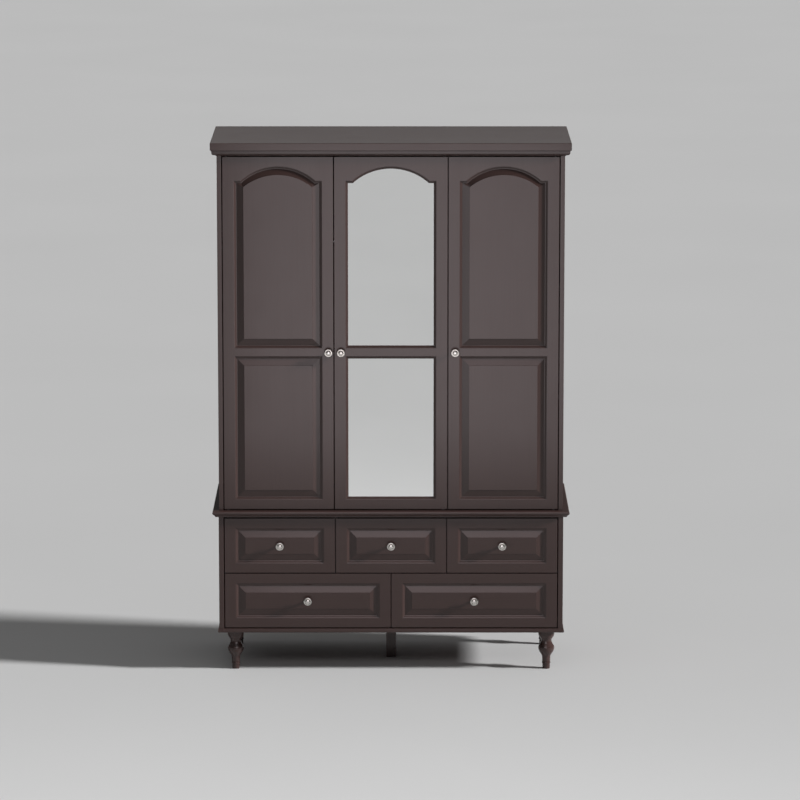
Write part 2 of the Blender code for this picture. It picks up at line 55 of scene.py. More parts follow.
# Planes and boxes that the frame gives
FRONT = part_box("door_left_frame")[0].y
DOOR_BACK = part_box("door_left_frame")[1].y
THICKNESS = DOOR_BACK - FRONT
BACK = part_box("waist_board")[1].y
HALF_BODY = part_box("upper_side_right")[1].x
CHEST_STEP = 0.002
HALF_CHEST = HALF_BODY + CHEST_STEP

# Frame-and-panel work: outlines are grown outward, depths run back from the front plane
STILE = 0.045
STICKING = 0.011
LIP_DEPTH = 0.0082
GROOVE_END = 0.0134
TONGUE = 0.0065
LOWER_OPENING = (0.732, 1.303)
UPPER_BOTTOM = 1.357
ARCH_APEX = 2.0785
ARCH_RISE = 0.0585
SHOULDER = 0.020
BEVEL = 0.028
FIELD_APEX = 2.054
FIELD_RISE = 0.050
FIELD_DEPTH = 0.0006
PANEL_STEP = 0.0025
MIRROR_DEPTH = 0.009
MIRROR_LEDGE = 0.010
EDGE_ROUND = 0.0008

# Drawer fronts: margins at the sides, below and above the sunk part
DRAWER_MARGINS = (0.044, 0.0385, 0.0395)
DRAWER_STICKING = 0.012
DRAWER_BEVEL = 0.028
DRAWER_QUIRK = 0.0078
DRAWER_STEP = 0.0018

# Drawer boxes
WALL = 0.012
BOX_BOTTOM = 0.008
FINGER = 0.0275

# Door pins and the holes that they turn in
PIN_RADIUS = 0.0030
PIN_HOLE = 0.0034
PIN_HOLE_DEPTH = 0.012
OVERCUT = 0.001

# Finish of the meshes
TURN_STEPS = 64
ARCH_STEPS = 56
EDGE_STEPS = 4
SHARP = math.radians(32)
BOARD_SHARP = math.radians(50)
CORNER = math.radians(40)
MITRE = math.radians(12)
FIT = 0.0003
MERGE = 0.000001
WELD = 0.00001
DRILL_MERGE = 0.00003
AXIS_RADIUS = 0.00001


# --- Mesh helpers ---------------------------------------------------------------------------


def settle(obj, sharp=SHARP):
    """Smooth shading that keeps real corners and mitres, with flat faces left flat."""
    mesh = obj.data
    mesh.shade_smooth()
    bm = bmesh.new()
    bm.from_mesh(mesh)
    for edge in bm.edges:
        edge.smooth = edge.smooth and edge.calc_face_angle(0.0) < sharp
    bm.to_mesh(mesh)
    bm.free()
    weighted = obj.modifiers.new("flat_faces_first", "WEIGHTED_NORMAL")
    weighted.keep_sharp = True


def add_piece(name, bm, material, body, stands_for=()):
    """Turns a mesh laid out in the frame into a piece that rides on a body."""
    bmesh.ops.remove_doubles(bm, verts=bm.verts, dist=MERGE)
    bmesh.ops.recalc_face_normals(bm, faces=bm.faces)
    mesh = bpy.data.meshes.new(name)
    bm.to_mesh(mesh)
    bm.free()
    mesh.materials.append(material)
    obj = bpy.data.objects.new(name, mesh)
    bpy.context.scene.collection.objects.link(obj)
    settle(obj)
    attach(obj, body)
    if stands_for:
        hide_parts(*stands_for)
    return obj


def add_bevel(obj, width, segments):
    bevel = obj.modifiers.new("soft_edges", "BEVEL")
    bevel.width = width
    bevel.segments = segments
    bevel.limit_method = "ANGLE"
    bevel.angle_limit = CORNER
    return bevel


def soften(obj, width, segments=2):
    """Rounds the edges of a piece whose mesh has plain corners, ahead of its other modifiers."""
    bevel = add_bevel(obj, width, segments)
    obj.modifiers.move(obj.modifiers.find(bevel.name), 0)


def dress(node, material):
    """Gives a mesh of the frame its material and joins its loose corners, shape unchanged."""
    obj = NODES[node]
    obj.data.materials.clear()
    obj.data.materials.append(material)
    weld = obj.modifiers.new("weld", "WELD")
    weld.merge_threshold = WELD
    return obj


def add_ring(bm, points):
    return [bm.verts.new(point) for point in points]


def bridge(bm, rings, mitred=False):
    """Joins rings of equal count; mitred keeps a crisp line where a ring turns a corner."""
    for ring, following in zip(rings, rings[1:]):
        for i, corner in enumerate(ring):
            j = (i + 1) % len(ring)
            bm.faces.new((corner, ring[j], following[j], following[i]))
            if mitred:
                arriving = corner.co - ring[i - 1].co
                leaving = ring[j].co - corner.co
                if arriving.angle(leaving, 0.0) > MITRE:
                    bm.edges.get((corner, following[i])).smooth = False


def loft(bm, outlines, mitred=False):
    """A closed solid through outlines of equal count."""
    rings = [add_ring(bm, outline) for outline in outlines]
    bridge(bm, rings, mitred)
    bm.faces.new(rings[0])
    bm.faces.new(rings[-1])


def fill(bm, rings):
    """Closes the flat region between an outer ring and the rings of its holes."""
    edges = []
    for ring in rings:
        for i, corner in enumerate(ring):
            pair = (corner, ring[(i + 1) % len(ring)])
            edges.append(bm.edges.get(pair) or bm.edges.new(pair))
    bmesh.ops.triangle_fill(bm, use_beauty=True, use_dissolve=False, edges=edges)


def turn(bm, profile, axis, centre, steps=TURN_STEPS):
    """Spins a profile of (radius, height) points round an axis."""
    axis = Vector(axis)
    side = axis.orthogonal().normalized()
    across = axis.cross(side)
    rings = []
    for radius, height in profile:
        points = []
        for step in range(steps):
            angle = math.tau * step / steps
            spoke = side * math.cos(angle) + across * math.sin(angle)
            points.append(Vector(centre) + axis * height + spoke * max(radius, AXIS_RADIUS))
        rings.append(add_ring(bm, points))
    bridge(bm, rings)
    bm.faces.new(rings[0])
    bm.faces.new(rings[-1])


def flowing(points, steps=5):
    """A smooth curve through the points of a profile, by the Catmull-Rom formula."""
    ends = [points[0], *points, points[-1]]
    curve = []
    for before, start, end, after in zip(ends, ends[1:], ends[2:], ends[3:]):
        for step in range(steps):
            t = step / steps
            curve.append(
                tuple(
                    0.5 * (2 * b + (c - a) * t + (2 * a - 5 * b + 4 * c - d) * t * t
                           + (3 * b - a - 3 * c + d) * t ** 3)
                    for a, b, c, d in zip(before, start, end, after)
                )
            )
    return curve + [points[-1]]


def add_box(bm, low, high):
    size = Vector(high) - Vector(low)
    made = bmesh.ops.create_cube(bm, size=1.0)
    bmesh.ops.scale(bm, verts=made["verts"], vec=size)
    bmesh.ops.translate(bm, verts=made["verts"], vec=Vector(low) + size / 2)


def quarter(radius, steps=EDGE_STEPS):
    """A quarter round as (inset, drop) pairs, from the side face round to the top face."""
    turns = [math.radians(90) * step / steps for step in range(steps + 1)]
    return [(radius * (1 - math.cos(a)), radius * (1 - math.sin(a))) for a in turns]


def arc(start, end, steps):
    """Evenly spaced angles, in radians, between two given in degrees."""
    return [math.radians(start + (end - start) * i / steps) for i in range(steps + 1)]


def bore_pin_holes(obj, holes):
    """Drills upright holes for door pins, each given as (x, y, z0, z1), into the mesh itself."""
    bm = bmesh.new()
    for x, y, z0, z1 in holes:
        depth = z1 - z0
        drill_profile = [(0, 0), (PIN_HOLE, 0), (PIN_HOLE, depth), (0, depth)]
        turn(bm, drill_profile, (0, 0, 1), (x, y, z0), 32)
    bmesh.ops.remove_doubles(bm, verts=bm.verts, dist=DRILL_MERGE)
    bmesh.ops.recalc_face_normals(bm, faces=bm.faces)
    mesh = bpy.data.meshes.new("drill")
    bm.to_mesh(mesh)
    bm.free()
    drill = bpy.data.objects.new("drill", mesh)
    bpy.context.scene.collection.objects.link(drill)
    cut = obj.modifiers.new("bore", "BOOLEAN")
    cut.operation = "DIFFERENCE"
    cut.object = drill
    obj.modifiers.move(obj.modifiers.find(cut.name), 0)
    for modifier in obj.modifiers:
        modifier.show_viewport = modifier == cut
    bpy.context.view_layer.update()
    seen = obj.evaluated_get(bpy.context.evaluated_depsgraph_get())
    obj.data = bpy.data.meshes.new_from_object(seen)
    obj.modifiers.remove(cut)
    for modifier in obj.modifiers:
        modifier.show_viewport = True
    bpy.data.objects.remove(drill, do_unlink=True)


# --- Outlines -------------------------------------------------------------------------------


def rectangle(x0, x1, z0, z1):
    return [(x0, z0), (x1, z0), (x1, z1), (x0, z1)]


def arch(half, bottom, shoulder, half_chord, apex):
    """A rectangle whose top rises in an arc between two level shoulders, centred on zero."""
    rise = apex - shoulder
    radius = (half_chord ** 2 + rise ** 2) / (2 * rise)
    reach = math.asin(half_chord / radius)
    outline = [(-half, bottom), (half, bottom), (half, shoulder)]
    for step in range(ARCH_STEPS + 1):
        angle = reach * (1 - 2 * step / ARCH_STEPS)
        outline.append((radius * math.sin(angle), apex - radius + radius * math.cos(angle)))
    outline.append((-half, shoulder))
    return outline


def grown_arch(half, growth):
    """The arched opening's outline, moved outward by growth all round."""
    shoulder = ARCH_APEX - ARCH_RISE
    half_chord = half - SHOULDER
    radius = (half_chord ** 2 + ARCH_RISE ** 2) / (2 * ARCH_RISE)
    centre = ARCH_APEX - radius
    chord = math.sqrt((radius + growth) ** 2 - (shoulder + growth - centre) ** 2)
    return arch(half + growth, UPPER_BOTTOM - growth, shoulder + growth, chord, ARCH_APEX + growth)


def field_arch(half, growth):
    """The arched field's outline: its arc runs straight into its sides, so its corners rise less."""
    side = half - BEVEL + growth
    corner = FIELD_APEX - FIELD_RISE + growth * 0.6
    return arch(side, UPPER_BOTTOM + BEVEL - growth, corner, side, FIELD_APEX + growth)


def lower_opening(half, growth):
    bottom, top = LOWER_OPENING
    return rectangle(-half - growth, half + growth, bottom - growth, top + growth)


def lower_field(half, growth):
    return lower_opening(half, growth - BEVEL)


def upright(outline, centre_x, depth):
    return [(centre_x + x, FRONT + depth, z) for x, z in outline]


def sticking(width, foot):
    """A moulded edge, as (growth, depth) from the front face inward: a small step, then an ogee."""
    wall = width - 0.0002
    lip = 0.0004
    ogee_start = width - 0.0006
    ogee_top = 0.0012
    ogee_drop = (foot - ogee_top) * 0.70
    ogee_steps = 11
    profile = [(wall + inset, drop) for inset, drop in reversed(quarter(lip, 3))]
    profile.append((wall, ogee_top - 0.0001))
    for i in range(1, ogee_steps + 1):
        t = i / ogee_steps
        profile.append((ogee_start * (1 - t), ogee_top + ogee_drop * (3 - 2 * t) * t * t))
    return profile + [(0, foot)]


# --- Materials ------------------------------------------------------------------------------


class Shader:
    """A Principled material under construction, with short calls for the nodes it is made of."""

    def __init__(self, name, roughness, metallic=0.0):
        self.material = bpy.data.materials.new(name)
        self.material.use_nodes = True
        self.tree = self.material.node_tree
        self.main = self.tree.nodes["Principled BSDF"]
        self.main.inputs["Roughness"].default_value = roughness
        self.main.inputs["Metallic"].default_value = metallic
        self.place = self.node("TexCoord").outputs["Object"]

    def node(self, kind, **settings):
        made = self.tree.nodes.new("ShaderNode" + kind)
        for key, value in settings.items():
            setattr(made, key, value)
        return made

    def link(self, source, target):
        self.tree.links.new(source, target)

    def stretched(self, scale):
        mapping = self.node("Mapping")
        mapping.inputs["Scale"].default_value = scale
        self.link(self.place, mapping.inputs["Vector"])
        return mapping.outputs["Vector"]

    def noise(self, scale, detail=3.0, vector=None, distortion=0.0):
        made = self.node("TexNoise")
        made.inputs["Scale"].default_value = scale
        made.inputs["Detail"].default_value = detail
        made.inputs["Distortion"].default_value = distortion
        self.link(vector or self.place, made.inputs["Vector"])
        return made.outputs["Fac"]

    def spread(self, value, low, high, start=0.3, end=0.7):
        made = self.node("MapRange")
        made.inputs["From Min"].default_value = start
        made.inputs["From Max"].default_value = end
        made.inputs["To Min"].default_value = low
        made.inputs["To Max"].default_value = high
        self.link(value, made.inputs["Value"])
        return made.outputs["Result"]

    def blend(self, factor, first, second):
        """Mixes two colours, each a colour or another node's output."""
        made = self.node("Mix", data_type="RGBA")
        sockets = [s for s in made.inputs if s.type == "RGBA"]
        for socket, colour in zip(sockets, (first, second)):
            if isinstance(colour, tuple):
                socket.default_value = (*colour, 1.0)
            else:
                self.link(colour, socket)
        self.link(factor, made.inputs["Factor"])
        return next(s for s in made.outputs if s.type == "RGBA")

    def maths(self, operation, first, second):
        made = self.node("Math", operation=operation)
        for socket, value in zip(made.inputs, (first, second)):
            if isinstance(value, (int, float)):
                socket.default_value = value
            else:
                self.link(value, socket)
        return made.outputs["Value"]

    def edges(self, radius):
        """1 on rounded edges and 0 on flat faces."""
        rounded = self.node("Bevel", samples=4)
        rounded.inputs["Radius"].default_value = radius
        dot = self.node("VectorMath", operation="DOT_PRODUCT")
        self.link(rounded.outputs["Normal"], dot.inputs[0])
        self.link(self.node("NewGeometry").outputs["Normal"], dot.inputs[1])
        return self.spread(dot.outputs["Value"], 1.0, 0.0, 0.80, 0.995)

    def bump(self, heights):
        """Stacks bumps, each (height, distance in metres), into the surface normal."""
        normal = None
        for height, distance in heights:
            made = self.node("Bump")
            made.inputs["Strength"].default_value = 1.0
            made.inputs["Distance"].default_value = distance
            self.link(height, made.inputs["Height"])
            if normal:
                self.link(normal, made.inputs["Normal"])
            normal = made.outputs["Normal"]
        self.link(normal, self.main.inputs["Normal"])

    def set(self, **links):
        for name, source in links.items():
            self.link(source, self.main.inputs[name.replace("_", " ").title()])


def grain_scale(axis, along, across):
    """Noise scales that stretch a figure along one axis."""
    return tuple(along if i == axis else across for i in range(3))


def make_paint(name, axis, dark, light, roughness):
    """Sprayed satin paint: faint orange peel, a little grain showing through, edges rubbed paler."""
    shader = Shader(name, roughness)
    grain_start, grain_end = 0.36, 0.50
    grain = shader.noise(1.0, 4.0, shader.stretched(grain_scale(axis, 3.0, 340.0)), 0.35)
    cloud = shader.noise(2.6, 4.0)
    colour = shader.blend(shader.spread(cloud, 0.0, 1.0), dark, light)
    deeper = tuple(part * 0.80 for part in dark)
    colour = shader.blend(shader.spread(grain, 0.22, 0.0, grain_start, grain_end), colour, deeper)
    worn = tuple(part * 1.9 + 0.012 for part in light)
    patchy = shader.spread(shader.noise(38.0, 5.0), 0.0, 1.0, 0.46, 0.62)
    rubbed = shader.maths("MULTIPLY", shader.edges(0.0012), patchy)
    colour = shader.blend(shader.maths("MULTIPLY", rubbed, 0.40), colour, worn)
    shader.set(base_color=colour)
    smudge = shader.noise(9.0, 5.0)
    smooth = shader.spread(smudge, roughness - 0.012, roughness + 0.016)
    dulled = shader.spread(grain, 0.018, 0.0, grain_start, grain_end)
    shader.set(roughness=shader.maths("ADD", smooth, dulled))
    peel = shader.noise(620.0, 2.0)
    shader.bump(((grain, 0.000025), (peel, 0.000006)))
    shader.main.inputs["Specular IOR Level"].default_value = PAINT_SPECULAR
    return shader.material


def make_birch(name, axis):
    """Clear-finished birch ply: pale, with long soft figure and fine dark pores."""
    shader = Shader(name, 0.42)
    figure = shader.noise(1.0, 5.0, shader.stretched(grain_scale(axis, 1.6, 26.0)), 0.9)
    pores = shader.noise(1.0, 3.0, shader.stretched(grain_scale(axis, 26.0, 900.0)), 0.1)
    colour = shader.blend(shader.spread(figure, 0.0, 1.0), (0.50, 0.35, 0.20), (0.36, 0.225, 0.115))
    colour = shader.blend(shader.spread(pores, 0.55, 0.0, 0.34, 0.44), colour, (0.17, 0.095, 0.045))
    shader.set(base_color=colour, roughness=shader.spread(figure, 0.36, 0.50))
    shader.bump(((pores, 0.00008), (figure, 0.00012)))
    return shader.material


def make_ply_edge(name):
    """The layered edge of birch ply: light and dark plies stacked upward."""
    shader = Shader(name, 0.55)
    layers = shader.node("TexWave", wave_type="BANDS", bands_direction="Z")
    layers.inputs["Scale"].default_value = 105.0
    layers.inputs["Distortion"].default_value = 0.6
    layers.inputs["Detail"].default_value = 2.0
    shader.link(shader.place, layers.inputs["Vector"])
    fibre = shader.noise(1.0, 3.0, shader.stretched((60.0, 60.0, 1400.0)))
    colour = shader.blend(layers.outputs["Fac"], (0.47, 0.33, 0.19), (0.19, 0.11, 0.055))
    colour = shader.blend(shader.spread(fibre, 0.35, 0.0), colour, (0.12, 0.07, 0.035))
    shader.set(base_color=colour, roughness=shader.spread(fibre, 0.5, 0.62))
    shader.bump(((fibre, 0.00010),))
    return shader.material


def make_hardboard(name):
    """Brown pressed fibreboard, mottled, with short fibres."""
    shader = Shader(name, 0.62)
    fibre = shader.noise(1.0, 6.0, shader.stretched((240.0, 240.0, 160.0)), 1.4)
    patch = shader.noise(4.0, 5.0)
    colour = shader.blend(shader.spread(patch, 0.0, 1.0), (0.115, 0.068, 0.040), (0.150, 0.092, 0.055))
    colour = shader.blend(shader.spread(fibre, 0.6, 0.0, 0.32, 0.52), colour, (0.060, 0.034, 0.020))
    shader.set(base_color=colour, roughness=shader.spread(fibre, 0.70, 0.52))
    shader.bump(((fibre, 0.00010),))
    return shader.material


def make_nickel(name):
    """Brushed nickel, cast and turned: fine rings of polish, with patchy tarnish."""
    shader = Shader(name, 0.24, 1.0)
    brushing = shader.noise(1.0, 4.0, shader.stretched((500.0, 60.0, 500.0)), 0.2)
    tarnish = shader.noise(170.0, 4.0)
    colour = shader.blend(shader.spread(tarnish, 0.0, 1.0), (0.70, 0.68, 0.65), (0.56, 0.54, 0.51))
    shader.set(base_color=colour, roughness=shader.spread(brushing, 0.17, 0.33))
    shader.bump(((brushing, 0.00002),))
    return shader.material


def make_steel(name, colour, roughness, streaks):
    """Bright plated steel with a drawn or rolled surface."""
    shader = Shader(name, roughness, 1.0)
    drawn = shader.noise(1.0, 4.0, shader.stretched(streaks))
    spots = shader.noise(240.0, 4.0)
    dull = tuple(part * 0.78 for part in colour)
    colour = shader.blend(shader.spread(spots, 0.0, 1.0, 0.45, 0.75), colour, dull)
    shader.set(base_color=colour, roughness=shader.spread(drawn, roughness * 0.75, roughness * 1.4))
    shader.bump(((drawn, 0.000015),))
    return shader.material


def make_mirror(name):
    """Silvered glass: nearly perfect, with the faintest film of dust in patches."""
    shader = Shader(name, 0.012, 1.0)
    film = shader.noise(5.0, 5.0)
    colour = shader.blend(shader.spread(film, 0.0, 1.0), (0.968, 0.974, 0.970), (0.950, 0.958, 0.954))
    shader.set(base_color=colour, roughness=shader.spread(film, 0.006, 0.020))
    return shader.material


def make_plastic(name, colour):
    """Moulded plastic with a fine spark-eroded texture."""
    shader = Shader(name, 0.5)
    pebble = shader.noise(1500.0, 2.0)
    paler = tuple(part * 1.25 for part in colour)
    patch = shader.noise(60.0, 3.0)
    colour = shader.blend(shader.spread(patch, 0.0, 1.0), colour, paler)
    shader.set(base_color=colour, roughness=shader.spread(pebble, 0.42, 0.58))
    shader.bump(((pebble, 0.00002),))
    return shader.material


def make_floor():
    """The studio's pale seamless floor, very slightly uneven in tone."""
    shader = Shader("studio_floor", 0.75)
    cloud = shader.noise(0.6, 3.0)
    dimmer, paler = (0.634,) * 3, (0.644,) * 3
    colour = shader.blend(shader.spread(cloud, 0.0, 1.0), dimmer, paler)
    shader.set(base_color=colour, roughness=shader.spread(cloud, 0.72, 0.80))
    shader.main.inputs["Specular IOR Level"].default_value = FLOOR_SPECULAR
    return shader.material


DARK = (0.0500, 0.0276, 0.0247)
LIGHT = (0.0530, 0.0298, 0.0269)
SATIN = 0.235
MATTE = 0.46
PAINT_SPECULAR = 0.42
FLOOR_SPECULAR = 0.15
PAINT_X = make_paint("espresso_paint_across", 0, DARK, LIGHT, SATIN)
PAINT_Z = make_paint("espresso_paint_upright", 2, DARK, LIGHT, SATIN)
INNER_X = make_paint("inner_paint_across", 0, DARK, LIGHT, MATTE)
INNER_Z = make_paint("inner_paint_upright", 2, DARK, LIGHT, MATTE)
BIRCH_X = make_birch("birch_across", 0)
BIRCH_Y = make_birch("birch_deep", 1)
PLY_EDGE = make_ply_edge("ply_edge")
HARDBOARD = make_hardboard("hardboard")
NICKEL = make_nickel("brushed_nickel")
CHROME = make_steel("chrome_rail", (0.78, 0.78, 0.79), 0.10, (20.0, 900.0, 900.0))
STEEL = make_steel("zinc_steel", (0.60, 0.60, 0.61), 0.30, (300.0, 300.0, 300.0))
BLACK_STEEL = make_steel("blackened_steel", (0.055, 0.053, 0.052), 0.42, (300.0, 300.0, 300.0))
MIRROR = make_mirror("silvered_mirror")
BLACK_PLASTIC = make_plastic("black_plastic", (0.020, 0.020, 0.021))


# --- Case -----------------------------------------------------------------------------------


def slab_outline(half, front, z):
    return [(-half, front, z), (half, front, z), (half, BACK, z), (-half, BACK, z)]


def build_slab(name, profile):
    """A level board whose edge follows (side overhang, height); its front reaches as the frame's."""
    front_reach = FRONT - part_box(name)[0].y
    widest = max(out for out, z in profile)
    outlines = []
    for out, z in profile:
        outlines.append(slab_outline(HALF_BODY + out, FRONT - out * front_reach / widest, z))
    bm = bmesh.new()
    loft(bm, outlines, mitred=True)
    return add_piece(name + "_shell", bm, PAINT_X, CARCASS, (name,))


def build_crown():
    """The crown board's plain edge, and under it the moulding's S-curve up to a fillet."""
    low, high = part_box("crown_board")
    out = high.x - HALF_BODY
    edge = 0.0020
    profile = [(out - inset, low.z + drop) for inset, drop in reversed(quarter(edge))]
    profile += [(out - inset, high.z - drop) for inset, drop in quarter(edge)]
    build_slab("crown_board", profile)

    low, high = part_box("crown_moulding")
    top = high.z - low.z
    curve = flowing(
        [
            (0.0026, 0.0002), (0.0042, 0.0021), (0.0076, 0.0034), (0.0120, 0.0044),
            (0.0155, 0.0060), (0.0183, 0.0088), (0.0198, 0.0122), (0.0201, 0.0160),
            (0.0201, 0.0198),
        ],
        4,
    )
    reach = high.x - HALF_BODY
    foot = 0.0022
    fillet = 0.0202
    lower_ease = 0.0004
    upper_ease = 0.0003
    section = [(FIT, 0.0), (foot, 0.0), *curve]
    section += [(reach - lower_ease, fillet), (reach, fillet + lower_ease)]
    section += [(reach, top - upper_ease), (reach - upper_ease, top), (FIT, top)]
    section = [(out, low.z + rise) for out, rise in section]
    bm = bmesh.new()
    rings = []
    for side, y, forward in ((-1, BACK, 0), (-1, FRONT, -1), (1, FRONT, -1), (1, BACK, 0)):
        rings.append([(side * (HALF_BODY + out), y + forward * out, z) for out, z in section])
    loft(bm, rings)
    add_piece("crown_moulding_run", bm, PAINT_X, CARCASS, ("crown_moulding",))


def pin_axis(label):
    low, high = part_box(f"door_{label}_pivot_top")
    return (low.x + high.x) / 2, (low.y + high.y) / 2


def build_waist():
    """The waist board: a rounded nose above, an S-curve back to a narrow lip below, and pin holes."""
    low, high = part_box("waist_board")
    under = flowing(
        [
            (0.0157, 0.0062), (0.0170, 0.0087), (0.0195, 0.0116), (0.0225, 0.0143),
            (0.0251, 0.0170), (0.0263, 0.0196), (0.0265, 0.0225), (0.0260, 0.0254),
            (0.0246, 0.0278), (0.0223, 0.0294),
        ],
        4,
    )
    profile = [(0.0, 0.0), (0.0, 0.0038), (0.0150, 0.0043), (0.0155, 0.0048), *under, (0.0195, 0.0300)]
    widest = high.x - HALF_BODY
    profile = [(min(out, widest), low.z + rise) for out, rise in profile]
    shell = build_slab("waist_board", profile)
    hole_bottom, hole_top = high.z - PIN_HOLE_DEPTH, high.z + OVERCUT
    bore_pin_holes(shell, [(*pin_axis(label), hole_bottom, hole_top) for label in DOORS])


def build_base():
    """The base board: its edge leans out a little towards a fuller round below."""
    low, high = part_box("base_board")
    out = high.x - HALF_BODY
    lean = 0.0014
    lower_round = 0.0050
    upper_round = 0.0014
    profile = [(out - inset, low.z + drop) for inset, drop in reversed(quarter(lower_round, 6))]
    profile += [(out - lean - inset, high.z - drop) for inset, drop in quarter(upper_round)]
    build_slab("base_board", profile)


def build_chest_sides():
    """The chest's sides, which swell outward in a small cove above the base board."""
    edge = 0.0012
    cove_top = 0.212
    for label, side in (("left", -1), ("right", 1)):
        low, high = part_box(f"chest_side_{label}")
        inner = min(abs(low.x), abs(high.x))
        swell = max(abs(low.x), abs(high.x)) - HALF_CHEST
        outer = [(HALF_CHEST, high.z)]
        for angle in arc(0, 90, 16):
            drop = (cove_top - low.z) * math.sin(angle)
            outer.append((HALF_CHEST + swell * (1 - math.cos(angle)), cove_top - drop))
        bm = bmesh.new()
        rings = []
        for inset, drop in quarter(edge):
            ring = [(inner + inset, low.z), (inner + inset, high.z)]
            ring += [(x - inset, z) for x, z in outer]
            rings.append([(side * x, low.y + drop, z) for x, z in ring])
        rings.reverse()
        ring = [(inner, low.z), (inner, high.z), *outer]
        rings.append([(side * x, high.y, z) for x, z in ring])
        loft(bm, rings)
        name = f"chest_side_{label}"
        add_piece(name + "_shell", bm, PAINT_Z, CARCASS, (name,))


def finish_boards():
    """Frame boards keep their shape and get paint, and those whose edges show get soft ones."""
    dividers = ("left", "right", "centre")
    finishes = [("upper_partition", INNER_Z)]
    finishes += [(f"chest_divider_{label}", INNER_Z) for label in dividers]
    level_boards = ("hat_shelf", "side_shelf_lower", "side_shelf_upper", "chest_dust_board", "top_panel")
    finishes += [(name, INNER_X) for name in level_boards]
    finishes += [(name, PAINT_Z) for name in ("upper_side_left", "upper_side_right", "centre_leg")]
    thin_boards = ("upper_back_panel", "chest_back_panel", "mirror_backing")
    finishes += [(name, HARDBOARD) for name in thin_boards]
    finishes += [("mirror_pane", MIRROR)]
    hidden_edges = ("top_panel", "upper_back_panel", "chest_back_panel", "mirror_pane")
    for name, material in finishes:
        obj = dress(name, material)
        if name not in hidden_edges:
            add_bevel(obj, 0.0010, 3)
        settle(obj, BOARD_SHARP)


def build_feet():
    """Turned feet: toe, groove, ring, slim shaft, vase, neck and flared top."""
    for node in ("foot_front_left", "foot_front_right", "foot_rear_left", "foot_rear_right"):
        low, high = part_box(node)
        top = high.z
        vase = flowing(
            [
                (0.0168, 0.0345), (0.0168, 0.0420), (0.0172, 0.0500), (0.0197, 0.0575),
                (0.0245, 0.0650), (0.0292, 0.0725), (0.0321, 0.0800), (0.0331, 0.0870),
                (0.0320, 0.0940), (0.0284, 0.1010), (0.0241, 0.1085), (0.0216, 0.1165),
                (0.0222, 0.1222), (0.0251, 0.1280), (0.0290, 0.1340), (0.0321, 0.1408),
                (0.0334, 0.1480),
            ]
        )
        ring = [(0.0152 + 0.0024 * math.sin(a), 0.0242 - 0.0044 * math.cos(a)) for a in arc(0, 180, 10)]
        profile = [(0.0, 0.0), (0.0144, 0.0), (0.0150, 0.0007), (0.0154, 0.0090), (0.0156, 0.0148)]
        profile += [(0.0153, 0.0158), (0.0145, 0.0168), (0.0145, 0.0186), *ring]
        profile += [(0.0154, 0.0292), (0.0166, 0.0303), *vase]
        profile += [(0.0335, 0.1520), (0.0335, top - 0.0004), (0.0331, top), (0.0, top)]
        bm = bmesh.new()
        turn(bm, profile, (0, 0, 1), ((low.x + high.x) / 2, (low.y + high.y) / 2, 0))
        add_piece(node + "_turned", bm, PAINT_Z, CARCASS, (node,))


# --- Doors ----------------------------------------------------------------------------------


def door_size(label):
    """A door's middle, half width, bottom and top."""
    low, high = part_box(f"door_{label}_frame")
    return (low.x + high.x) / 2, (high.x - low.x) / 2, low.z, high.z


def build_frame(label):
    """Stiles and rails with moulded openings and softened outer edges."""
    centre, half_width, bottom, top = door_size(label)
    half = half_width - STILE - STICKING
    mirrored = label == "centre"
    bm = bmesh.new()
    edge = [(inset, THICKNESS - drop) for inset, drop in reversed(quarter(EDGE_ROUND))]
    edge += quarter(EDGE_ROUND)
    outer = []
    for inset, depth in edge:
        shape = rectangle(inset - half_width, half_width - inset, bottom + inset, top - inset)
        outer.append(add_ring(bm, upright(shape, centre, depth)))
    bridge(bm, outer)

    profile = sticking(STICKING, LIP_DEPTH)
    if mirrored:
        profile[-1] = (0, MIRROR_DEPTH)
    else:
        groove = TONGUE + 0.0005
        back_round = ((0, THICKNESS - 0.0010), (0.0003, THICKNESS - 0.0003), (0.0010, THICKNESS))
        profile += [(groove, LIP_DEPTH), (groove, GROOVE_END), (0, GROOVE_END), *back_round]
    fronts = []
    backs = []
    for opening in (grown_arch, lower_opening):
        rings = [add_ring(bm, upright(opening(half, growth), centre, depth)) for growth, depth in profile]
        bridge(bm, rings, mitred=True)
        fronts.append(rings[0])
        backs.append(rings[-1])
    fill(bm, [outer[-1], *fronts])
    if mirrored:
        ledge = rectangle(
            -half - MIRROR_LEDGE,
            half + MIRROR_LEDGE,
            LOWER_OPENING[0] - MIRROR_LEDGE,
            ARCH_APEX + MIRROR_LEDGE,
        )
        pocket = [add_ring(bm, upright(ledge, centre, depth)) for depth in (MIRROR_DEPTH, THICKNESS)]
        bridge(bm, pocket)
        fill(bm, [pocket[0], *backs])
        fill(bm, [outer[0], pocket[1]])
    else:
        fill(bm, [outer[0], *backs])
    node = f"door_{label}_frame"
    piece = add_piece(node + "_made", bm, PAINT_Z, f"door_{label}", (node,))
    upper_hole = (*pin_axis(label), top - PIN_HOLE_DEPTH, top + OVERCUT)
    lower_hole = (*pin_axis(label), bottom - OVERCUT, bottom + PIN_HOLE_DEPTH)
    bore_pin_holes(piece, [upper_hole, lower_hole])


def field_edge(step):
    """The small step up to a raised field, as (inset, depth) pairs, with its corners eased."""
    foot = [(-0.0006, step + 0.0001), (-0.0002, step), (0.0, step - 0.0002)]
    crest = [(0.0, FIELD_DEPTH + 0.0004), (0.0002, FIELD_DEPTH + 0.0001), (0.0007, FIELD_DEPTH)]
    return foot + crest


